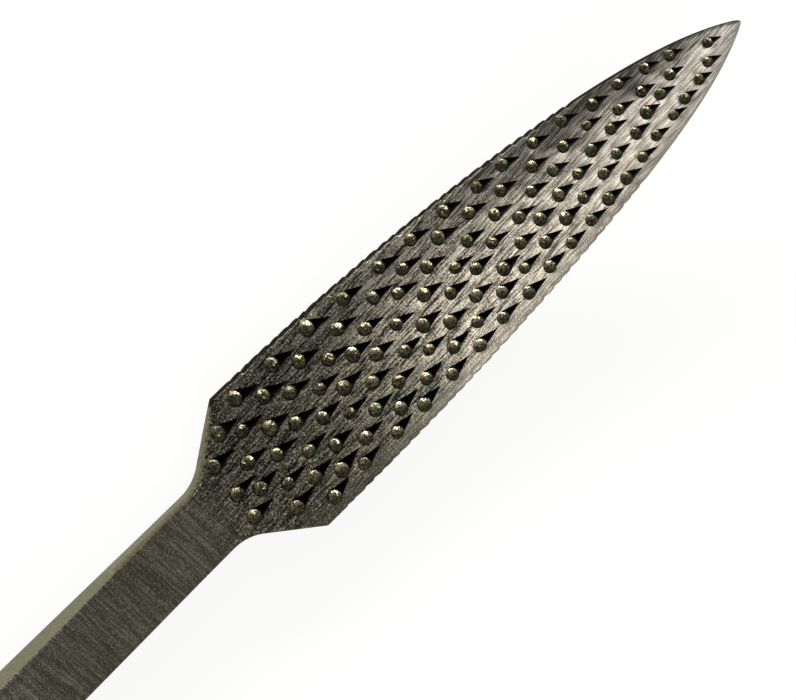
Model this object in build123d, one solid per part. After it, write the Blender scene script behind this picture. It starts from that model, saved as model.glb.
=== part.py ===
from build123d import *
import math
import os
import random

# Double-ended riffler: one bar of tool steel, its square middle the grip, with both ends drawn
# out to a bowed sage leaf that is stitched with rasp teeth on both faces and along its edges.
# Millimetres. X runs along the tool, Z is up, and the flat underside of the grip lies on Z = 0.

# The bar: a square grip that is forged thinner, not narrower, towards each leaf
overall_length = 200.0
bar_width = 5.1
grip_thickness = 5.0
neck_thickness = 2.6
taper_length = 18.0
taper_blend_radius = 80.0
arris = 0.25
buried_length = 4.0

# The leaf: its length runs from the tip back to the corners of its shoulders, and its bow to the neck
leaf_length = 47.5
leaf_width = 12.94
leaf_thickness = 3.0
tip_thickness = 0.7
bow_radius = 245.0
# Each face falls away to its edges: the top on one arc, the bottom in halves that meet at a faint ridge
crown_height = 0.9
ridge_angle = 1.0
shoulder_length = 5.1
shoulder_fillet = 4.0
# Half width = half of leaf_width * (1 - (1 - u) ** 2) ** point_share, u from 0 at the tip to 1
point_share = 0.63
outline_shares = (1, 0.8, 0.6, 0.42, 0.28, 0.17, 0.09, 0.035, 0.004)

# The teeth of one leaf face: rows that start along the +Y edge and slant towards the tip as they
# cross to the -Y edge, each row further from the last than the one before. No two teeth of a row
# are closer than its pitch, and no tooth lies outside first_tooth to last_tooth from the tip.
tooth_rows = 20
row_growth_share = 1.052
first_row = 2.3
last_row = 54.3
first_tooth = 1.5
last_tooth = 50.7
tip_row_angle = 34.0
heel_row_angle = 61.0
tip_pitch = 1.62
heel_pitch = 2.08
start_margin = 0.7
tip_end_margin = 1.1
heel_end_margin = 1.45
row_share = 0.01
stray_share = 0.08
tooth_seed = 11
# The punch points at the tip, turned inwards by the edges and slanted towards -Y near the tip
fan_angle = 11.0
tip_slant_angle = 14.0

# One tooth at the heel of the leaf, and the share of that size that is left at the tip
pit_length = 1.75
pit_width = 1.1
pit_depth = 0.45
burr_width = 1.0
burr_length = 0.95
burr_height = 0.42
burr_lean = 0.1
burr_root = 0.15
pit_rise = 0.08
tip_tooth_share = 0.6

# The stitches along one edge of a leaf
edge_stitches = 34
first_stitch = 13.5
last_stitch = 45.5
stitch_depth = 0.22
stitch_length = 0.55

# One overrun for every cut that has to leave the metal
overrun = 1.0

tip_x = overall_length / 2
heel_x = tip_x - leaf_length
middle_z = grip_thickness / 2
half_leaf = leaf_width / 2
half_bar = bar_width / 2
shoulder_slope = (half_leaf - half_bar) / shoulder_length
fillet_run = shoulder_fillet * math.tan(math.atan(shoulder_slope) / 2)
neck_x = heel_x - shoulder_length - fillet_run
taper_slope = (grip_thickness - neck_thickness) / 2 / taper_length
ridge_turns = {1: 0, -1: math.radians(ridge_angle) / 2}
bow_spread = (leaf_thickness - tip_thickness) / (tip_x - neck_x) ** 2
bow_radii = {1: 1 / (1 / bow_radius - bow_spread), -1: 1 / (1 / bow_radius + bow_spread)}


def half_width(distance):
    """Half the width of the leaf at a distance from its tip, down the shoulders too."""
    if distance > leaf_length:
        return half_leaf - (distance - leaf_length) * shoulder_slope
    return half_leaf * (1 - (1 - distance / leaf_length) ** 2) ** point_share


def crown_radius(side):
    """Radius of each half of a face's crown, which starts at the middle with half of the ridge's angle."""
    lean, fall = half_leaf * math.sin(ridge_turns[side]), crown_height * math.cos(ridge_turns[side])
    return (half_leaf**2 + crown_height**2) / 2 / (fall - lean)


def crown_angle(side, y):
    """How steeply a face falls at y."""
    return math.asin(abs(y) / crown_radius(side) + math.sin(ridge_turns[side]))


def crown_drop(side, y):
    """How far a face has fallen at y from its middle."""
    return crown_radius(side) * (math.cos(ridge_turns[side]) - math.cos(crown_angle(side, y)))


def face_place(side, x, y, turn=0.0):
    """Plane on the top (side 1) or bottom (side -1) face of the +X leaf, its X towards the tip."""
    across = math.copysign(crown_angle(side, y), y)
    radius = bow_radii[side] + side * crown_drop(side, y)
    centre_z = middle_z + side * leaf_thickness / 2 + bow_radii[side]
    along = math.asin(max(x - neck_x, 0) / radius)
    normal = (
        -side * math.sin(along) * math.cos(across),
        math.sin(across),
        side * math.cos(along) * math.cos(across),
    )
    z = centre_z - radius * math.cos(along)
    return Plane(origin=(x, y, z), x_dir=(math.cos(turn), math.sin(turn), math.sin(along)), z_dir=normal)


def polyhedron(points, sides):
    """Solid with flat sides, each side a loop of numbers into the list of points."""
    faces = [Face(Wire.make_polygon([points[i] for i in side], close=True)) for side in sides]
    return Solid(Shell(faces))


def bar():
    """The +X half of the grip and its taper, cut from one side profile that ends inside the leaf."""
    grip_x = neck_x - taper_length
    end_x = neck_x + buried_length
    end_half = neck_thickness / 2 - buried_length * taper_slope
    upper = [(0, middle_z), (grip_x, middle_z), (end_x, end_half)]
    with BuildSketch(Plane.XZ.offset(-half_bar)) as profile:
        with Locations((0, middle_z)):
            Polygon(*upper, *[(x, -z) for x, z in reversed(upper)], align=None)
        fillet([v for v in profile.vertices() if abs(v.X - grip_x) < arris], taper_blend_radius)
    body = extrude(profile.sketch, amount=bar_width)
    sides = body.faces().sort_by(Axis.Y)
    long_edges = (sides[0].edges() + sides[-1].edges()).filter_by(lambda edge: edge.center().X > arris)
    return chamfer(long_edges, arris)


def leaf_plan():
    """Outline of the +X leaf seen from above, from its tip back to where its neck is inside the bar."""
    run_in = ((leaf_thickness - neck_thickness) / 2 + arris) / taper_slope
    edge = [(tip_x - u * leaf_length, half_width(u * leaf_length)) for u in outline_shares]
    nose, heel = edge[-1], edge[0]
    neck = (heel_x - shoulder_length, half_bar)
    end = (neck_x - run_in, half_bar)

    def across(point):
        return (point[0], -point[1])

    with BuildSketch() as plan:
        with BuildLine():
            Spline(*edge)
            ThreePointArc(nose, (tip_x, 0), across(nose))
            Spline(*[across(point) for point in reversed(edge)])
            Polyline(across(heel), across(neck), across(end), end, neck, heel)
        make_face()
        fillet([v for v in plan.vertices() if abs(v.X - neck[0]) < arris], shoulder_fillet)
    return plan.sketch


def outside(side):
    """All that a crowned and bowed face leaves outside the metal: along the bow, and along the neck."""
    radius = bow_radii[side]
    centre_z = middle_z + side * leaf_thickness / 2 + radius
    half_span = half_leaf + overrun
    ridge = (0, -radius)
    quarter, rim = [(y, -radius - side * crown_drop(side, y)) for y in (half_span / 2, half_span)]
    far = -radius + side * 2 * leaf_width
    with BuildSketch(Plane(origin=(neck_x, 0, centre_z), x_dir=(0, 1, 0), z_dir=(1, 0, 0))) as section:
        with BuildLine():
            ThreePointArc(ridge, quarter, rim)
            Polyline(rim, (half_span, far), (-half_span, far), (-half_span, rim[1]))
            ThreePointArc((-half_span, rim[1]), (-quarter[0], quarter[1]), ridge)
        make_face()
    pivot = Axis((neck_x, 0, centre_z), (0, -1, 0))
    sweep = math.degrees((tip_x - neck_x + overrun) / (radius - leaf_width))
    bowed = revolve(section.sketch, pivot, revolution_arc=sweep)
    straight = extrude(section.sketch, amount=-taper_length)
    return [bowed, straight]


def leaf():
    """The +X leaf without its teeth: its plan, cut down to its two crowned faces."""
    return extrude(leaf_plan(), amount=leaf_width).cut(*outside(1), *outside(-1))


def row_ends(distance, slope, end_margin):
    """Where a row that crosses the middle line at a distance from the tip has metal for its teeth."""
    inside = []
    for step in range(-round(1 / row_share), round(1 / row_share) + 1):
        y = half_leaf * step * row_share
        along = distance + slope * y
        if first_tooth < along < last_tooth:
            if end_margin - half_width(along) < y < half_width(along) - start_margin:
                inside.append(y)
    return inside


def tooth_places():
    """Distance from the tip, offset from the middle line and size of each tooth of one face."""
    dice = random.Random(tooth_seed)
    places = []
    for row in range(tooth_rows):
        reach = (row_growth_share**row - 1) / (row_growth_share ** (tooth_rows - 1) - 1)
        distance = first_row + (last_row - first_row) * reach
        slope = math.tan(math.radians(tip_row_angle + (heel_row_angle - tip_row_angle) * reach))
        inside = row_ends(distance, slope, tip_end_margin + (heel_end_margin - tip_end_margin) * reach)
        if not inside:
            continue
        pitch = tip_pitch + (heel_pitch - tip_pitch) * reach
        width = inside[-1] - inside[0]
        gaps = math.floor(width * math.hypot(1, slope) / pitch)
        step = width / max(gaps, 1)
        first = (inside[0] + inside[-1] + step * gaps) / 2
        for number in range(gaps + 1):
            y = first - number * step
            along = distance + slope * y + dice.uniform(-stray_share, stray_share) * pitch
            beside = y + dice.uniform(-stray_share, stray_share) * pitch
            places.append((along, beside, tip_tooth_share + (1 - tip_tooth_share) * along / last_tooth))
    return places


def burr(size):
    """The claw that the punch throws up: flat in front, falling away behind on two slopes."""
    lean, height, root = burr_lean * size, burr_height * size, burr_root * size
    spread = (height + root) / height
    front = burr_width / 2 * size * spread
    rear = lean - burr_length * size * spread
    base = [(lean, -front, -root), (lean, front, -root), (rear, 0, -root)]
    return polyhedron(base + [(lean, 0, height)], [(0, 1, 3), (1, 2, 3), (2, 0, 3), (2, 1, 0)])


def pit(size):
    """The three-cornered stab in front of a claw, carried up through the claw to cut its front flat."""
    depth, rise, top = pit_depth * size, pit_rise * size, (burr_height + pit_rise) * size
    spread = (depth + rise) / depth
    apex, half = pit_length * size * spread, pit_width / 2 * size * spread
    corners = [(apex, 0), (0, -half), (0, half)]
    low = [(x, y, rise) for x, y in corners]
    high = [(x, y, top) for x, y in corners]
    sides = [(0, 1, 3), (0, 2, 1), (0, 3, 6, 5, 2), (1, 2, 5, 4), (1, 4, 6, 3), (4, 5, 6)]
    return polyhedron([(0, 0, -depth)] + low + high, sides)


def stitch():
    """Wedge that nicks an edge, steep on the side that faces the heel, its Y pointing out of the metal."""
    spread = (stitch_depth + overrun) / stitch_depth
    with BuildSketch() as nick:
        Polygon((0, -stitch_depth), (stitch_length * spread, overrun), (0, overrun), align=None)
    return extrude(nick.sketch, amount=leaf_thickness / 2, both=True)


def stitch_places(hand):
    """Plane for each nick along the +Y (hand 1) or -Y (hand -1) edge of the +X leaf."""
    step = (last_stitch - first_stitch) / (edge_stitches - 1)
    places = []
    for number in range(edge_stitches):
        distance = first_stitch + number * step
        x, y = tip_x - distance, half_width(distance)
        top, bottom = face_place(1, x, y), face_place(-1, x, y)
        slope = math.atan((half_width(distance) - half_width(distance - step)) / step)
        along = Vector(math.cos(slope), -hand * math.sin(slope), top.x_dir.Z)
        middle = ((top.origin + bottom.origin) / 2).Z
        outward = Vector(math.sin(slope), hand * math.cos(slope), 0)
        places.append(Plane(origin=(x, hand * y, middle), x_dir=along, z_dir=along.cross(outward)))
    return places


def teeth():
    """Every claw to add, and every pit and nick to cut, on both faces and both edges of the +X leaf."""
    claws, cuts = [], []
    nick = stitch()
    for side in (1, -1):
        for distance, y, size in tooth_places():
            slant = tip_slant_angle * (1 - distance / last_tooth)
            turn = -math.radians(fan_angle * y / half_leaf + slant)
            place = face_place(side, tip_x - distance, side * y, side * turn)
            claws.append(place * burr(size))
            cuts.append(place * pit(size))
    for hand in (1, -1):
        cuts += [place * nick for place in stitch_places(hand)]
    return claws, cuts


def riffler():
    """The whole file: one end forged and stitched, then joined to itself turned half round."""
    claws, cuts = teeth()
    stitched = (bar() + leaf()).fuse(*claws).cut(*cuts)
    return stitched + Rot(0, 0, 180) * stitched


os.makedirs("parts", exist_ok=True)
file = riffler()
export_step(file.solids()[0], "parts/riffler.step", write_pcurves=False)
print("teeth on one face:", len(tooth_places()), "solids:", len(file.solids()), "faces:", len(file.faces()))
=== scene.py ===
import math
import random

import bmesh
import bpy
from mathutils import Matrix, Vector, geometry, kdtree, noise


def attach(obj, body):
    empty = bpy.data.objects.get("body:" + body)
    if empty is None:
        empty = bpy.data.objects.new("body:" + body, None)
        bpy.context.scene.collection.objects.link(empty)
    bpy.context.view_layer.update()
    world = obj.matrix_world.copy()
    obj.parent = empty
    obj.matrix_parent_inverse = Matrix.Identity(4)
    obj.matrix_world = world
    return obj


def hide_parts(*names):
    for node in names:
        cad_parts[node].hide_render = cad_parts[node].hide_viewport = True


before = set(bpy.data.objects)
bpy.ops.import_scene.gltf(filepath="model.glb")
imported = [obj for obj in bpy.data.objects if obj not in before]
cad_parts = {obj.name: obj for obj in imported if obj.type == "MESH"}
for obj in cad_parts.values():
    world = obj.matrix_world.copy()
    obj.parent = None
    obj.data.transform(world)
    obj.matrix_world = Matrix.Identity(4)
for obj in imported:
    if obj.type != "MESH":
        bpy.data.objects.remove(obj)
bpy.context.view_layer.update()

# The forging: one bar of tool steel, its square middle the grip, each end drawn out to a bowed
# sage leaf. Both faces of a leaf are ground to a crown, and its edge is nicked by the stitches.
# Sizes are millimetres along the tool (x), across it (y) and up (z), in the frame's place.

tip_x = 100.0
half_leaf = 6.47
half_bar = 2.55
leaf_length = 47.5
leaf_fullness = 0.63
leaf_thickness = 3.0
tip_thickness = 0.7
crown_height = 0.9
bow_radius = 245.0
shoulder_length = 5.1
shoulder_fillet = 4.0
grip_half = 2.5
neck_half = 1.3
taper_length = 18.0
taper_blend = 80.0
point_cut, point_length = 0.36, 2.2
bar_side_fall, bar_end_fall, crease_blend = 1.5, 0.15, 0.25
middle_z = grip_half

shoulder_angle = math.atan((half_leaf - half_bar) / shoulder_length)
heel_x = tip_x - leaf_length
neck_x = heel_x - shoulder_length - shoulder_fillet * math.tan(shoulder_angle / 2)
grip_x = neck_x - taper_length
taper_slope = (grip_half - neck_half) / taper_length
crown_radius = (half_leaf**2 + crown_height**2) / 2 / crown_height
# The top (1) and the bottom (-1) are bowed to unlike radii, so that the leaf thins to its tip
bow_spread = (leaf_thickness - tip_thickness) / (tip_x - neck_x) ** 2
bow_radii = {1: 1 / (1 / bow_radius - bow_spread), -1: 1 / (1 / bow_radius + bow_spread)}


def half_width(distance):
    """Half the leaf's width at a distance from its tip, down the shoulders too."""
    if distance > leaf_length:
        return half_leaf - (distance - leaf_length) * math.tan(shoulder_angle)
    return half_leaf * (1 - (1 - max(distance, 0) / leaf_length) ** 2) ** leaf_fullness


def ground_width(distance):
    """The same with the tip ground to a finer point, which the rows of teeth leave alone."""
    return half_width(distance) * (1 - point_cut * math.exp(-max(distance, 0) / point_length))


def leaf_z(side, x, y):
    """Height of a leaf's top (side 1) or bottom (side -1) face."""
    drop = crown_radius - math.sqrt(crown_radius**2 - y**2)
    radius = bow_radii[side] + side * drop
    run = max(x - neck_x, 0)
    return middle_z + side * leaf_thickness / 2 + bow_radii[side] - math.sqrt(radius**2 - run**2)


def bar_half(x):
    """Half the bar's thickness: square at the grip, then a taper to the neck after a soft bend."""
    bend = taper_blend * math.tan(math.atan(taper_slope) / 2)
    if x < grip_x - bend:
        return grip_half
    if x < grip_x + bend:
        return grip_half - (x - grip_x + bend) ** 2 / (2 * taper_blend)
    return grip_half - (x - grip_x) * taper_slope


def smooth_max(a, b, blend):
    """The larger of two heights, with the crease between them forged round."""
    near = max(blend - abs(a - b), 0) / blend
    return max(a, b) + near**2 * blend / 4


def metal_z(side, x, y):
    """Height of the untouched metal: the leaf's face, or the bar's where it stands further out."""
    leaf = side * (leaf_z(side, x, y) - middle_z)
    beside, beyond = max(abs(y) - half_bar, 0), max(x - neck_x, 0)
    bar = bar_half(x) - bar_side_fall * beside - bar_end_fall * beyond
    return middle_z + side * smooth_max(leaf, bar, crease_blend)


def way_out(side, x, y):
    """The way that the untouched metal faces."""
    step = 0.01
    here = metal_z(side, x, y)
    tilt_x = (metal_z(side, x + step, y) - here) / step
    tilt_y = (metal_z(side, x, y + step) - here) / step
    return Vector((-tilt_x, -tilt_y, 1)).normalized() * side


# The edge of the forging's plan runs from the bar round the tip and back, as stations: a point, the
# way out of the metal, and how deep a stitch has nicked it there. The rows just inside it, each an
# inset and its share of a nick, round the edge over. A nick is steep on its side towards the tip.

blank_end = 38.0
edge_round = 0.14
edge_rows = [(0.0, 1.0), (0.04, 0.85), (0.14, 0.4), (0.24, 0.15)]
bar_steps, fillet_steps, flank_steps = 16, 10, 14
nicked_step, plain_step, least_step, last_step = 0.125, 0.3, 0.02, 0.012
first_nick, last_nick, nick_count = 13.5, 45.5, 34
nick_depth, nick_length, nick_front = 0.1, 0.62, 0.12
nick_stray, nick_sizes = 0.13, (0.55, 1.2)


def nicks(hand):
    """Depth of the nicks along one edge, as a function of the distance from the tip."""
    dice = random.Random(5 + hand)
    pitch = (last_nick - first_nick) / (nick_count - 1)
    blows = []
    for number in range(nick_count):
        start = first_nick + (number + dice.uniform(-nick_stray, nick_stray)) * pitch
        blows.append((start, dice.uniform(*nick_sizes)))

    def depth(distance):
        deepest = 0.0
        for start, size in blows:
            run = (start - distance) / nick_length
            if 0 <= run < 1:
                deepest = max(deepest, nick_depth * size * (1 - run) ** 1.2)
            elif -nick_front <= run < 0:
                deepest = max(deepest, nick_depth * size * (1 + run / nick_front))
        return deepest

    return depth


def bar_stations():
    """Along the bar's side to the neck."""
    for i in range(bar_steps):
        yield blank_end + (neck_x - blank_end) * i / bar_steps, half_bar, 0.0, 1.0, 0.0


def shoulder_stations():
    """Round the fillet at the neck, then up the straight flank to the heel."""
    for i in range(fillet_steps):
        turn = shoulder_angle * i / fillet_steps
        x = neck_x + shoulder_fillet * math.sin(turn)
        y = half_bar + shoulder_fillet * (1 - math.cos(turn))
        yield x, y, -math.sin(turn), math.cos(turn), 0.0
    start = neck_x + shoulder_fillet * math.sin(shoulder_angle)
    for i in range(flank_steps):
        x = start + (heel_x - start) * i / flank_steps
        y = half_width(tip_x - x)
        yield x, y, -math.sin(shoulder_angle), math.cos(shoulder_angle), 0.0


def leaf_stations(nick):
    """From the heel to the tip in steps of even length, short enough to show each nick."""
    distance, probe = leaf_length, 0.01
    while distance > last_step:
        ahead = ground_width(distance - probe)
        behind = ground_width(min(distance + probe, leaf_length))
        slope = (behind - ahead) / (2 * probe if distance + probe < leaf_length else probe)
        length = math.hypot(1, slope)
        yield tip_x - distance, ground_width(distance), slope / length, 1 / length, nick(distance)
        step = nicked_step if distance < last_nick + 0.5 else plain_step
        distance -= max(step / length, least_step)


def edge_of_hand(hand):
    """All the stations of the +Y (1) or -Y (-1) edge, from the bar to the tip."""
    stations = [*bar_stations(), *shoulder_stations(), *leaf_stations(nicks(hand))]
    return [(Vector((x, hand * y)), Vector((out_x, hand * out_y)), cut)
            for x, y, out_x, out_y, cut in stations]


def outline():
    """The stations from the bar along the +Y edge, round the tip, and back along the -Y edge."""
    tip_station = Vector((tip_x, 0)), Vector((1, 0)), 0.0
    return edge_of_hand(1) + [tip_station] + edge_of_hand(-1)[::-1]


# The stitched teeth. Each is one blow of a three-cornered punch, driven in from the tip's side: it
# leaves a narrow pit and throws the metal up behind it as a round burr, steep towards the tip.
# They stand in rows from the +Y edge slantwise to the -Y edge, finer and closer towards the tip.

tooth_rows = 20
row_growth = 1.052
first_row, last_row = 2.3, 54.3
first_tooth, last_tooth = 1.5, 50.7
# In the rows, the value at the tip and the one at the heel
row_angles = 34.0, 61.0
row_pitches = 1.62, 2.08
start_margins = 0.7, 1.45
end_margins = 1.1, 1.45
stray, stray_angle = 0.08, 4.0
fan_angle, slant_angle = 11.0, 16.0
# Terms of a power series in a tooth's reach, which is 0 at the tip and 1 at the heel
burr_radius = 0.43, 0.23, -0.05
burr_height = 0.27, 0.15
pit_reach = 1.08, 1.60, -0.60
pit_depth = 0.30, 0.22
# How a burr is set back from its blow, leans and is torn, the low skirt round it, and its mesh
burr_setback, burr_lean = 0.85, 0.42
lump_fineness, lump_height = 2.2, 0.55
skirt_height, skirt_fall, skirt_limit = 0.03, 4.0, 0.05
valley_start = 1.04
ring_shares = 0.34, 0.62, 0.82, 0.93, 1.0
ring_points, front_points = 18, 6


def from_tip(pair, reach):
    """A value between the one at the tip and the one at the heel."""
    return pair[0] + (pair[1] - pair[0]) * reach


def series(terms, reach):
    """A power series in the reach."""
    return sum(term * reach**power for power, term in enumerate(terms))


def clamp(value):
    return max(min(value, 1), 0)


def row_inside(distance, slope, reach):
    """Offsets from the middle line at which a row is clear of both edges and of the heel."""
    low, high = from_tip(end_margins, reach), from_tip(start_margins, reach)
    inside = []
    for step in range(-100, 101):
        y = half_leaf * step / 100
        along = distance + slope * y
        on_leaf = first_tooth < along < last_tooth
        if on_leaf and low - half_width(along) < y < half_width(along) - high:
            inside.append(y)
    return inside


def tooth_places():
    """Distance from the tip and offset from the middle line of every tooth of a face."""
    dice = random.Random(11)
    places = []
    for row in range(tooth_rows):
        reach = (row_growth**row - 1) / (row_growth ** (tooth_rows - 1) - 1)
        distance = from_tip((first_row, last_row), reach)
        slope = math.tan(math.radians(from_tip(row_angles, reach)))
        inside = row_inside(distance, slope, reach)
        pitch = from_tip(row_pitches, reach)
        width = inside[-1] - inside[0]
        gaps = math.floor(width * math.hypot(1, slope) / pitch)
        step = width / max(gaps, 1)
        first = (inside[0] + inside[-1] + step * gaps) / 2
        for number in range(gaps + 1):
            y = first - number * step
            along = distance + slope * y + dice.uniform(-stray, stray) * pitch
            places.append((along, y + dice.uniform(-stray, stray) * pitch))
    return places


class Tooth:
    """One burr and its pit on the plan: u runs to the pit's point, v across, in burr radii."""

    def __init__(self, side, distance, y, dice):
        reach = distance / last_tooth
        fan = fan_angle * y / half_leaf + slant_angle * (1 - reach)
        turn = -math.radians(fan - dice.uniform(-stray_angle, stray_angle))
        self.ahead = Vector((math.cos(turn), side * math.sin(turn)))
        self.aside = Vector((-math.sin(turn), side * math.cos(turn)))
        self.radius = series(burr_radius, reach) * dice.uniform(0.9, 1.08)
        middle = Vector((tip_x - distance, side * y))
        self.centre = middle - self.ahead * burr_setback * self.radius
        self.point = series(pit_reach, reach) * dice.uniform(0.93, 1.06) / self.radius
        # The pit's +Y rim runs on from the burr's side, and the other starts from its front
        upper_mouth = math.acos(1 / self.point) * dice.uniform(0.88, 1)
        self.mouth = {1: upper_mouth, -1: dice.uniform(0.55, 0.9)}
        self.height = series(burr_height, reach) * dice.uniform(0.8, 1.15)
        self.depth = series(pit_depth, reach) * dice.uniform(0.9, 1.1)
        self.lumps = Vector((dice.uniform(-50, 50), dice.uniform(-50, 50), 0))
        self.highlight_share = dice.uniform(0.35, 1)
        self.broad = dice.uniform(0.9, 1.14)

    def at(self, u, v):
        """The point of the plan at u and v."""
        return self.centre + (self.ahead * u + self.aside * v * self.broad) * self.radius

    def on_plan(self, plan):
        """u and v of a point of the plan."""
        away = plan - self.centre
        return away.dot(self.ahead) / self.radius, away.dot(self.aside) / self.radius / self.broad

    def half_pit(self, u, v):
        """How far the pit reaches to v's side of its middle line."""
        mouth = self.mouth[1 if v >= 0 else -1]
        return (self.point - u) / (self.point - math.cos(mouth)) * math.sin(mouth)

    def faces_pit(self, u, v):
        """Whether a point is on the side of the burr that faces the pit."""
        return abs(math.atan2(v, u)) < self.mouth[1 if v >= 0 else -1] + 1e-3

    def in_pit(self, u, v):
        """Whether a point is between the burr's front and the pit's rims."""
        within_rims = 0 < u < self.point and abs(v) < self.half_pit(u, v)
        return within_rims and self.faces_pit(u, v)

    def floor(self, u, v):
        """Depth of the pit: a valley that rises to its point, with sides that lean out."""
        rise = min((self.point - u) / (self.point - 1), 1.25)
        from_rim = max(1 - abs(v) / max(self.half_pit(u, v), 1e-6), 0)
        return -self.depth * rise * from_rim**0.8

    def dome(self, u, v):
        """Height of the burr: a ball that leans towards the tip, with the lumps of torn metal."""
        out = min(math.hypot(u, v), 1)
        lump = noise.noise(Vector((u, v, 0)) * lump_fineness + self.lumps) * lump_height
        return self.height * (1 - out**2) ** 0.5 * (1 + burr_lean * u + lump)

    def crest(self, u, v):
        """Painted light on the burr: above 0 for a painted highlight on its rim towards +Y, below 0
        for painted shade on its -Y side.
        """
        out = math.hypot(u, v)
        bright = self.highlight_share * clamp((out - 0.25) / 0.35) * clamp(0.7 * u + 1.3 * v)
        return bright - clamp(-0.3 - 0.2 * u - 1.3 * v)

    def metal(self, plan):
        """Height over the face at a point of the plan, how much burr is there, and its painted
        highlight and shade.
        """
        u, v = self.on_plan(plan)
        out = math.hypot(u, v)
        if out >= 0.999:
            if self.in_pit(u, v):
                return self.floor(u, v), 0.0, 0.0
            return skirt_height * math.exp(-(out - 1) * skirt_fall), 0.0, 0.0
        top = ring_shares[-2]
        if out > top and self.faces_pit(u, v):
            # The burr's steep front, from its last inner ring down to the floor of the pit
            fall = (out - top) / (1 - top)
            edge = self.dome(u / out * top, v / out * top)
            height = edge + (self.floor(u / out, v / out) - edge) * fall
            return height, 1.0, self.crest(u, v) * (1 - fall)
        return self.dome(u, v), 1.0, self.crest(u, v)

    def lines(self):
        """Runs of points that have to be edges of the mesh: rings, the pit's valley and rims."""
        high, low = self.mouth[1], self.mouth[-1]
        front = [-low + (high + low) * i / front_points for i in range(front_points + 1)]
        back_points = ring_points - front_points
        back = 2 * math.pi - high - low
        turns = front + [high + back * i / back_points for i in range(1, back_points)]
        for share in ring_shares:
            yield [self.at(share * math.cos(a), share * math.sin(a)) for a in turns], True
        yield [self.at(0, 0)], False
        steps = 5 if self.point > 2.6 else 4
        valley = self.point - valley_start
        yield [self.at(valley_start + valley * i / steps, 0) for i in range(steps)], False
        for hand in (1, -1):
            start = Vector((math.cos(self.mouth[hand]), hand * math.sin(self.mouth[hand])))
            rim = [start.lerp(Vector((self.point, 0)), i / steps) for i in range(steps + 1)]
            yield [self.at(*place) for place in rim], False


# The open metal between the teeth gets an even net of points, which keep clear of the edge, of the
# burrs and of the pits by these lengths. Teeth are looked for no further off than a tooth is long.

net_spacing, net_row, net_width = 0.42, 0.87, 18
edge_clear, bar_clear, tip_clear = 0.4, 0.2, 0.3
burr_clear, point_clear, rim_clear = 1.3, 0.25, 0.3
net_search, tooth_search = 2.6, 2.4
worn_band, worn_fade, edge_band = 1.5, 0.8, 0.2


def search_tree(places):
    """Finds the nearest of some points of the plan."""
    tree = kdtree.KDTree(len(places))
    for i, place in enumerate(places):
        tree.insert((*place, 0), i)
    tree.balance()
    return tree


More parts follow.
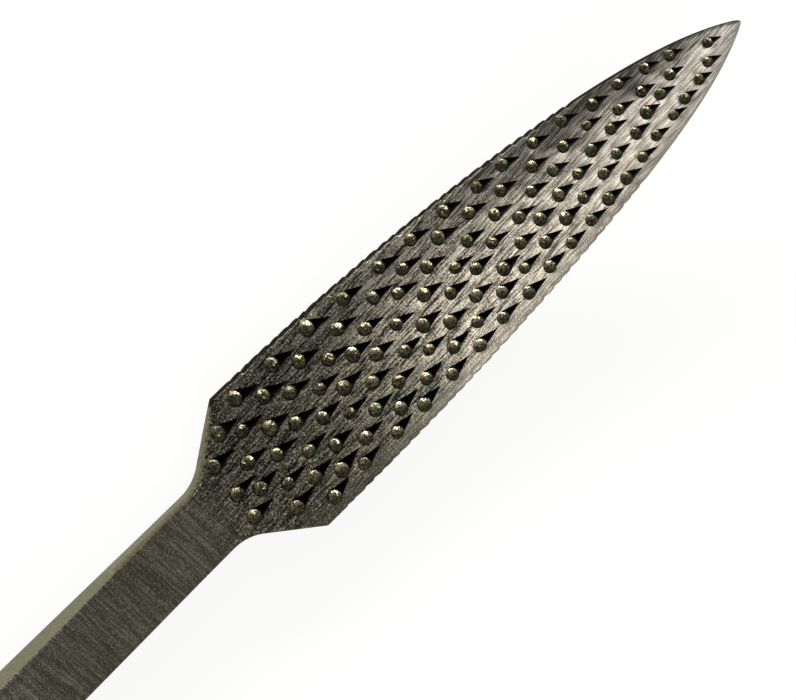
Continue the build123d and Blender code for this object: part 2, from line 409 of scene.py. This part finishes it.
class StitchedFace:
    """One stitched face with its share of the neck, cut into triangles along all its outlines."""

    def __init__(self, side, stations, seed):
        dice = random.Random(seed)
        self.side, self.stations = side, stations
        self.teeth = [Tooth(side, distance, y, dice) for distance, y in tooth_places()]
        self.tooth_tree = search_tree([tooth.centre for tooth in self.teeth])
        self.edge_tree = search_tree([place for place, _, _ in stations])
        self.points, self.links = [], []
        self.draw_edge()
        for tooth in self.teeth:
            for run, closed in tooth.lines():
                self.draw(run, closed)
        self.fill()
        inside_outline, tolerance = 1, 1e-5
        cut = geometry.delaunay_2d_cdt(self.points, self.links, [], inside_outline, tolerance)
        self.plan, self.faces = cut[0], cut[2]

    def draw(self, run, closed):
        """Adds a run of points, each linked to the next by what has to be an edge of the mesh."""
        start, end = len(self.points), len(self.points) + len(run) - 1
        self.points.extend(run)
        self.links.extend((i, i + 1) for i in range(start, end))
        if closed:
            self.links.append((end, start))

    def draw_edge(self):
        across = [Vector((blank_end, -half_bar + 2 * half_bar * i / 16)) for i in range(1, 16)]
        for inset, share in edge_rows:
            row = [place - out * (inset + cut * share) for place, out, cut in self.stations]
            if inset:
                self.draw(row[1:-1], False)
            else:
                self.draw(row + across, True)

    def from_edge(self, plan):
        """How far inside the nicked edge a point is, and how deep the nick is there."""
        place, out, cut = self.stations[self.edge_tree.find((*plan, 0))[1]]
        return (place - plan).dot(out) - cut, cut

    def teeth_near(self, plan, radius):
        found = self.tooth_tree.find_range((*plan, 0), radius)
        return [self.teeth[index] for _, index, _ in found]

    def is_open(self, spot):
        """Whether a point is on the metal and clear of the edge and of every tooth."""
        off_leaf = spot.x < blank_end + bar_clear or spot.x > tip_x - tip_clear
        if off_leaf or abs(spot.y) > half_leaf or self.from_edge(spot)[0] < edge_clear:
            return False
        for tooth in self.teeth_near(spot, net_search):
            u, v = tooth.on_plan(spot)
            beside = abs(v) < tooth.half_pit(u, v) + rim_clear
            if math.hypot(u, v) < burr_clear or (0 < u < tooth.point + point_clear and beside):
                return False
        return True

    def fill(self):
        for i in range(int((tip_x - blank_end) / (net_spacing * net_row)) + 1):
            for j in range(-net_width, net_width + 1):
                x = blank_end + i * net_spacing * net_row
                spot = Vector((x, (j + (i % 2) / 2) * net_spacing))
                if self.is_open(spot):
                    self.points.append(spot)

    def thrown(self, plan):
        """Height over the untouched metal at a point, how much burr is there, and its painted
        highlight and shade.
        """
        lift, burr, crest = 0.0, 0.0, 0.0
        for tooth in self.teeth_near(plan, tooth_search):
            over, ball, tooth_shading = tooth.metal(plan)
            if over < 0:
                # A pit is cut through the skirt of a neighbour's burr, but not into the burr
                lift = min(lift, over) if lift <= skirt_limit else lift
            elif lift >= 0:
                lift = max(lift, over)
            burr, crest = max(burr, ball), max(crest, tooth_shading, key=abs)
        return lift, burr, crest

    def finished(self, plan):
        """Where a point of the plan comes to lie, with its marks in the order of point_marks."""
        inset, cut = self.from_edge(plan)
        inset = max(inset, 0)
        lift, burr, crest = self.thrown(plan)
        if inset < edge_round:
            lift -= edge_round - math.sqrt(edge_round**2 - (edge_round - inset) ** 2)
            lift -= cut * 0.3
        out = way_out(self.side, plan.x, plan.y)
        if inset < 1e-4 or plan.x < blank_end + 1e-4:
            out = Vector((0, 0, self.side))
        on_lower_edge = plan.y < 0 and plan.x > heel_x - 1
        worn = clamp((worn_band - inset) / worn_fade) if on_lower_edge else 0.0
        edge = max(1 - inset / edge_band, 0) if plan.x > heel_x - 0.5 else 0.0
        half = half_width(tip_x - plan.x) if plan.x > neck_x else half_bar
        across = plan.y / max(half, 0.3)
        place = Vector((plan.x, plan.y, metal_z(self.side, plan.x, plan.y))) + out * lift
        return place, (burr, crest, worn, edge, across)

    def is_pit(self, face):
        """Whether a triangle is in a pit or on the burr's steep front."""
        middle = sum((self.plan[i] for i in face), Vector((0, 0))) / len(face)
        for tooth in self.teeth_near(middle, tooth_search):
            u, v = tooth.on_plan(middle)
            if tooth.in_pit(u, v) and math.hypot(u, v) > ring_shares[-2]:
                return True
        return False


# What the finish reads at each point: burr, the painted highlight and shade on it, the plain worn
# band along the -Y edge, the edge itself, and how far across the leaf the point is, from -1 to 1.
# Pits are marked on faces.
# The bar's sections stand closer together where its taper bends into the square grip.

point_marks = "burr", "crest", "worn", "edge", "across"
bar_sections = 35.0, 32.5, 30.7, 29.4, 28.0, 26.7, 25.4, 22.0, 16.0, 8.0, 0.0
crease_angle = math.radians(38)


def half_file():
    """The +X half: two stitched faces joined round the edge, and the bar drawn out of the neck."""
    stations = outline()
    bm = bmesh.new()
    bm.faces.layers.float.new("pit")
    for name in point_marks:
        bm.verts.layers.float.new(name)
    layers = [bm.verts.layers.float[name] for name in point_marks]
    pit_layer = bm.faces.layers.float["pit"]
    for side, seed in ((1, 21), (-1, 22)):
        stitched = StitchedFace(side, stations, seed)
        verts = []
        for plan in stitched.plan:
            place, marks = stitched.finished(plan)
            vert = bm.verts.new(place)
            for layer, mark in zip(layers, marks):
                vert[layer] = mark
            verts.append(vert)
        for face in stitched.faces:
            corners = [verts[i] for i in (face if side == 1 else face[::-1])]
            bm.faces.new(corners)[pit_layer] = float(stitched.is_pit(face))
    bm.edges.index_update()
    open_edges = [e for e in bm.edges if e.is_boundary]
    rim = [e for e in open_edges if max(v.co.x for v in e.verts) > blank_end + 1e-3]
    bmesh.ops.bridge_loops(bm, edges=rim)
    section = [e for e in bm.edges if e.is_boundary]
    here = blank_end
    for x in bar_sections:
        made = bmesh.ops.extrude_edge_only(bm, edges=section)["geom"]
        verts = [g for g in made if isinstance(g, bmesh.types.BMVert)]
        section = [g for g in made if isinstance(g, bmesh.types.BMEdge)]
        taper = bar_half(x) / bar_half(here)
        bmesh.ops.translate(bm, verts=verts, vec=(x - here, 0, -middle_z))
        bmesh.ops.scale(bm, verts=verts, vec=(1, 1, taper))
        bmesh.ops.translate(bm, verts=verts, vec=(0, 0, middle_z))
        here = x
    return bm


def whole_file():
    """Both halves: the second is the first turned half round, and they meet inside the grip."""
    bm = half_file()
    twin = bmesh.ops.duplicate(bm, geom=bm.verts[:] + bm.edges[:] + bm.faces[:])["geom"]
    verts = [g for g in twin if isinstance(g, bmesh.types.BMVert)]
    half_turn = Matrix.Rotation(math.pi, 3, "Z")
    bmesh.ops.rotate(bm, verts=verts, cent=(0, 0, 0), matrix=half_turn)
    middle = [v for v in bm.verts if abs(v.co.x) < 0.01]
    bmesh.ops.remove_doubles(bm, verts=middle, dist=0.002)
    bmesh.ops.recalc_face_normals(bm, faces=bm.faces)
    for edge in bm.edges:
        edge.smooth = edge.calc_face_angle(0) < crease_angle
    for face in bm.faces:
        face.smooth = True
    bmesh.ops.scale(bm, verts=bm.verts, vec=(0.001, 0.001, 0.001))
    mesh = bpy.data.meshes.new("riffler_file")
    bm.to_mesh(mesh)
    bm.free()
    return mesh


forging = bpy.data.objects.new("riffler_file", whole_file())
bpy.context.scene.collection.objects.link(forging)
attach(forging, "root")
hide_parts("riffler")


# The finish: hardened steel, ground lengthwise on the leaves, where it is darker towards the heel,
# and left with its dark scale on the bar, where the grinding runs across. Pits are painted black
# as shade, burrs are olive with a painted highlight and painted shade, and the leaf's +Y side gets
# painted shade.

steel_tint = 0.76, 0.73, 0.57
leaf_starts, side_darkens, tip_brightens = (44.0, 49.0), (70.0, 88.0), (95.0, 99.0)
wear_start, wear_wander, wear_length = 54.0, 8.0, 50.0
line_turn, line_wander = math.radians(-4), 0.3
streak_grain, scratch_grain = (0.25, 4.6, 2.0), (0.7, 11.0, 3.0)
bar_grain, bar_slant = (4.6, 0.35, 1.1), 0.5 / 4.6
# The colour of the painted shade on the leaf's +Y side
upper_side_shade_colour = 0.044, 0.044, 0.036
ground_stops = [
    (0.05, (0.050, 0.049, 0.036)),
    (0.15, (0.072, 0.070, 0.052)),
    (0.26, (0.155, 0.148, 0.115)),
    (0.40, (0.365, 0.340, 0.283)),
    (0.55, (0.385, 0.357, 0.305)),
    (0.82, (0.328, 0.310, 0.276)),
    (1.0, (0.350, 0.338, 0.312)),
]
ground_glint = 0.42, 0.39, 0.32
bar_dark, bar_light, bar_glint = (0.056, 0.055, 0.041), (0.150, 0.143, 0.108), (0.26, 0.25, 0.20)
# Edge colours: painted shade on the +Y edge; on the -Y edge dark at the heel and light towards the
# tip, worn and painted with a highlight
upper_edge_shade = 0.008, 0.008, 0.006
lower_edge_dark, lower_edge_worn_and_lit = (0.06, 0.058, 0.042), (0.46, 0.44, 0.39)
burr_dark, burr_light = (0.018, 0.017, 0.011), (0.090, 0.083, 0.052)
# Colours of the painted highlight and of the painted shade on the burrs
painted_highlight_colour, burr_shade = (0.57, 0.54, 0.37), (0.012, 0.012, 0.010)
# Pits are painted near black for the shade in them
pit_shade_heel, pit_shade_tip = (0.004, 0.004, 0.005), (0.020, 0.020, 0.022)


class Socket:
    """A shader value that Python's operators work on, and from which other nodes are added."""

    def __init__(self, tree, link=None):
        self.tree, self.link = tree, link

    def node(self, kind, settings=None, inputs=None, out=0):
        """Adds a node: its settings first, then the values or links of its sockets."""
        made = self.tree.nodes.new(kind)
        for name, value in (settings or {}).items():
            if name == "stops":
                ramp = made.color_ramp
                while len(ramp.elements) < len(value):
                    ramp.elements.new(1)
                for element, (place, colour) in zip(ramp.elements, value):
                    element.position, element.color = place, (*colour, 1)
            else:
                setattr(made, name, value)
        for name, value in (inputs or {}).items():
            socket = made.inputs[name]
            if isinstance(value, Socket):
                value.feed(socket)
            else:
                socket.default_value = (*value, 1) if socket.type == "RGBA" else value
        return Socket(self.tree, made.outputs[out])

    def feed(self, socket):
        self.tree.links.new(self.link, socket)

    def math(self, operation, *values):
        return self.node("ShaderNodeMath", {"operation": operation}, dict(enumerate(values)))

    def __add__(self, other): return self.math("ADD", self, other)
    def __radd__(self, other): return self.math("ADD", other, self)
    def __sub__(self, other): return self.math("SUBTRACT", self, other)
    def __rsub__(self, other): return self.math("SUBTRACT", other, self)
    def __mul__(self, other): return self.math("MULTIPLY", self, other)
    def __rmul__(self, other): return self.math("MULTIPLY", other, self)
    def __abs__(self): return self.math("ABSOLUTE", self)

    def at_least(self, other):
        return self.math("MAXIMUM", self, other)

    def ramp(self, low, high):
        """0 below low, 1 above high, and smooth between."""
        ends = {0: self, 1: low, 2: high, 3: 0.0, 4: 1.0}
        return self.node("ShaderNodeMapRange", {"interpolation_type": "SMOOTHSTEP"}, ends)

    def mix(self, first, second):
        """first where this is 0, second where it is 1, as colours."""
        return self.node("ShaderNodeMix", {"data_type": "RGBA"}, {0: self, 6: first, 7: second}, 2)

    def scaled(self, factor):
        """This vector or colour times a number."""
        settings = {"operation": "SCALE"}
        return self.node("ShaderNodeVectorMath", settings, {0: self, "Scale": factor})

    def parts(self):
        """x, y and z of this vector."""
        return [self.node("ShaderNodeSeparateXYZ", None, {0: self}, i) for i in range(3)]

    def drawn(self, x, y, z, grain):
        """A place whose noise is drawn out: its changes in a millimetre along x, y and z."""
        scaled = {0: x * grain[0], 1: y * grain[1], 2: z * grain[2]}
        return self.node("ShaderNodeCombineXYZ", None, scaled)

    def clouds(self, scale, detail=2.0, roughness=0.5):
        """Noise at this place."""
        values = {"Vector": self, "Scale": scale, "Detail": detail, "Roughness": roughness}
        return self.node("ShaderNodeTexNoise", None, values)


class Steel:
    """The steel at each point, in millimetres: its marks, its wear, and the lines of its grain."""

    def __init__(self, tree):
        place = Socket(tree).node("ShaderNodeTexCoord", out="Object").scaled(1000.0)
        x, y, z = place.parts()
        names = "pit", *point_marks
        marks = [place.node("ShaderNodeAttribute", {"attribute_name": n}, out=2) for n in names]
        self.pit, self.burr, self.crest, self.worn, self.edge, self.across = marks
        self.along = abs(x)
        self.leaf = self.along.ramp(*leaf_starts)
        # Wear is about 0 at the heel and 1 at the tip, and polish is the part of it that smooths
        worn_to = self.along - wear_start + place.clouds(0.35) * wear_wander
        self.wear = worn_to * (1 / wear_length)
        self.polish = self.wear.ramp(0.35, 0.85)
        self.rough = 1 - self.polish * 0.8

        # Grinding lines: long thin streaks, turned a little from the tool's length on the leaves,
        # and short ones across the bar
        rotation = {0: place, "Rotation": (0, 0, line_turn)}
        line_x, line_y, _ = place.node("ShaderNodeMapping", None, rotation).parts()
        self.wander = place.clouds(0.5, 1.0) - 0.5
        line_y = line_y + self.wander * line_wander
        self.streaks = place.drawn(line_x, line_y, z, streak_grain).clouds(1.0, 1.5)
        self.scratches = place.drawn(line_x, line_y, z, scratch_grain).clouds(1.0, 1.0)
        self.cross = place.drawn(x + y * bar_slant, y, z, bar_grain).clouds(1.0, 3.0, 0.6)
        self.speck = place.clouds(6.5, 2.0, 0.6)
        self.glints = self.speck.ramp(0.52, 0.7)

    def ground(self):
        """The leaf: darker towards the heel, with painted shade on the +Y side, and the tip is
        bright.
        """
        colour = self.wear.node("ShaderNodeValToRGB", {"stops": ground_stops}, {0: self.wear})
        # Painted shade: the +Y side of the crown, turned away from the soft box, is darkened, most
        # near the tip but not at the very tip
        shade_on_upper_side = (self.across + self.wander * 0.9).ramp(0.1, 0.7)
        shade_on_upper_side = shade_on_upper_side * (1 - self.along.ramp(*tip_brightens))
        dark = shade_on_upper_side * (self.along.ramp(*side_darkens) * 0.30 + 0.5)
        flecks = (self.speck - 0.5) * self.rough + 0.5
        tone = (0.28 * self.streaks + 0.40 * self.scratches + 0.32 * flecks).ramp(0.41, 0.60)
        tone = tone * (1 - self.worn * 0.5) + self.worn * 0.22
        contrast = 1.9 - self.polish * (0.5 + (1 - shade_on_upper_side) * 0.4)
        bright = (tone - 0.5) * contrast + 1.06 + self.worn * (0.35 - self.polish * 0.75)
        colour = dark.mix(colour, upper_side_shade_colour).scaled(bright)
        glints = self.glints * tone * self.rough * (0.7 - self.wear * 0.4)
        return glints.mix(colour, ground_glint)

    def bar(self):
        lines = (0.6 * self.cross + 0.4 * self.speck).ramp(0.40, 0.66)
        return (self.glints * 0.25).mix(lines.mix(bar_dark, bar_light), bar_glint)

    def edges(self):
        """The edge itself: painted shade makes it nearly black on the +Y side, and on the -Y side
        it is dark at the heel and light towards the tip, worn there and painted with a highlight.
        """
        lower_edge = self.wear.ramp(0.1, 0.7).mix(lower_edge_dark, lower_edge_worn_and_lit)
        return self.across.ramp(-0.2, 0.2).mix(lower_edge, upper_edge_shade)

    def burrs(self):
        colour = self.speck.ramp(0.4, 0.65).mix(burr_dark, burr_light)
        # A painted highlight on each burr's rim towards +Y, strongest in the middle of the leaf,
        # and painted shade on its -Y side
        catch = self.wear.ramp(-0.05, 0.25) * 0.6 + 0.4 - self.polish * 0.6
        lit = self.crest.at_least(0.0) * self.speck.ramp(0.3, 0.6) * catch
        shaded = (0 - self.crest).at_least(0.0)
        return shaded.mix(lit.mix(colour, painted_highlight_colour), burr_shade)

    def colour(self):
        plain = self.edge.mix(self.leaf.mix(self.bar(), self.ground()), self.edges())
        # Pits are painted near black as shade, a little greyer towards the tip
        return self.pit.mix(self.burr.mix(plain, self.burrs()), self.polish.mix(pit_shade_heel, pit_shade_tip))

    def roughness(self):
        marks = self.pit * 0.3 + self.edge * 0.5 + self.burr * 0.04
        return 0.22 + 0.10 * self.speck + marks

    def relief(self):
        """Depth of the grinding lines and of the speckle, in millimetres."""
        lines = (1 - self.polish * 0.4) * (0.05 * self.streaks + 0.02 * self.scratches)
        leaf = self.leaf * (lines + self.rough * self.speck * 0.025)
        return leaf + (1 - self.leaf) * (0.02 * self.cross + 0.02 * self.speck)


def hardened_steel():
    material = bpy.data.materials.new("hardened_steel")
    material.use_nodes = True
    shader = material.node_tree.nodes["Principled BSDF"]
    shader.inputs["Metallic"].default_value = 1.0
    shader.inputs["Specular Tint"].default_value = (*steel_tint, 1)
    steel = Steel(material.node_tree)
    steel.colour().feed(shader.inputs["Base Color"])
    steel.roughness().feed(shader.inputs["Roughness"])
    relief = steel.relief()
    values = {"Strength": 1.0, "Distance": 0.001, "Height": relief}
    relief.node("ShaderNodeBump", None, values).feed(shader.inputs["Normal"])
    return material


forging.data.materials.append(hardened_steel())

# The floor: a white sheet just under the tool, with its shadow. The camera and the steel see it as
# nearly plain white, whatever the light.

floor_z = -0.0001
sheet_size, sheet_grey, sheet_glow = 3.0, 0.9, 0.88

floor_mesh = bpy.data.meshes.new("floor")
bm = bmesh.new()
under_tool = Matrix.Translation((0, 0, floor_z))
bmesh.ops.create_grid(bm, x_segments=1, y_segments=1, size=sheet_size, matrix=under_tool)
bm.to_mesh(floor_mesh)
bm.free()
floor = bpy.data.objects.new("floor", floor_mesh)
bpy.context.scene.collection.objects.link(floor)
white = bpy.data.materials.new("white_sheet")
white.use_nodes = True
paper = white.node_tree.nodes["Principled BSDF"]
paper.inputs["Base Color"].default_value = (sheet_grey, sheet_grey, sheet_grey, 1)
paper.inputs["Roughness"].default_value = 0.9
sheet = Socket(white.node_tree, paper.outputs[0])
ray_names = "Is Camera Ray", "Is Glossy Ray", "Is Transmission Ray"
camera_ray, glossy_ray, clear_ray = [sheet.node("ShaderNodeLightPath", out=n) for n in ray_names]
seen = camera_ray.at_least(glossy_ray).at_least(clear_ray) * sheet_glow
plain_white = sheet.node("ShaderNodeEmission")
sheet = sheet.node("ShaderNodeMixShader", None, {0: seen, 1: sheet, 2: plain_white})
sheet.feed(white.node_tree.nodes["Material Output"].inputs["Surface"])
floor_mesh.materials.append(white)

# Light: a pale room, a broad soft box high up beyond the -Y side and the far leaf, and a long low
# one beyond the +Y side and the tip, which picks out the burrs. Lengths here are metres.

room_colour = 0.55, 0.55, 0.53

world = bpy.data.worlds.new("room")
world.use_nodes = True
world.node_tree.nodes["Background"].inputs["Color"].default_value = (*room_colour, 1)
bpy.context.scene.world = world


def soft_box(name, at, aim, size, power, colour):
    lamp = bpy.data.lights.new(name, "AREA")
    lamp.shape = "RECTANGLE"
    lamp.size, lamp.size_y = size
    lamp.energy = power
    lamp.color = colour
    holder = bpy.data.objects.new(name, lamp)
    holder.location = at
    holder.rotation_euler = (Vector(aim) - Vector(at)).to_track_quat("-Z", "Y").to_euler()
    bpy.context.scene.collection.objects.link(holder)


soft_box("key", at=(-0.22, -0.475, 0.9), aim=(-0.22, -0.475, 0), size=(0.50, 0.83),
         power=2.8, colour=(1.0, 0.93, 0.86))
soft_box("rim", at=(0.42, 0.60, 0.28), aim=(0.05, 0, 0), size=(0.85, 0.12),
         power=10.0, colour=(1.0, 0.97, 0.88))

# Camera: a long lens from above, a little towards +Y and the grip. The tip is placed in the
# picture's upper right corner and the bar leaves it at the lower left.

picture_width, picture_height = 796, 700
tip_pixel = Vector((739.6, 20.6))
pixels_per_metre = 13500.0
tip_place = Vector((0.1, 0, 0.00845))
camera_distance = 1.2
sensor_width = 36.0
side_tilt, end_tilt = math.radians(12.5), math.radians(10.0)
picture_turn = math.radians(44.7)

level = math.cos(end_tilt)
toward = Vector((-math.sin(end_tilt), level * math.sin(side_tilt), level * math.cos(side_tilt)))
length_seen = (Vector((1, 0, 0)) - toward * toward.x).normalized()
side_seen = toward.cross(length_seen)
right = length_seen * math.cos(picture_turn) - side_seen * math.sin(picture_turn)
up = toward.cross(right)
aim = tip_place - right * (tip_pixel.x - picture_width / 2) / pixels_per_metre
aim -= up * (picture_height / 2 - tip_pixel.y) / pixels_per_metre
lens = bpy.data.cameras.new("camera")
lens.sensor_width = sensor_width
lens.lens = sensor_width * camera_distance / (picture_width / pixels_per_metre)
lens.clip_start, lens.clip_end = 0.05, 20.0
camera = bpy.data.objects.new("camera", lens)
turned = Matrix((right, up, toward)).transposed().to_4x4()
camera.matrix_world = Matrix.Translation(aim + toward * camera_distance) @ turned
bpy.context.scene.collection.objects.link(camera)
bpy.context.scene.camera = camera
bpy.context.scene.view_settings.view_transform = "Standard"
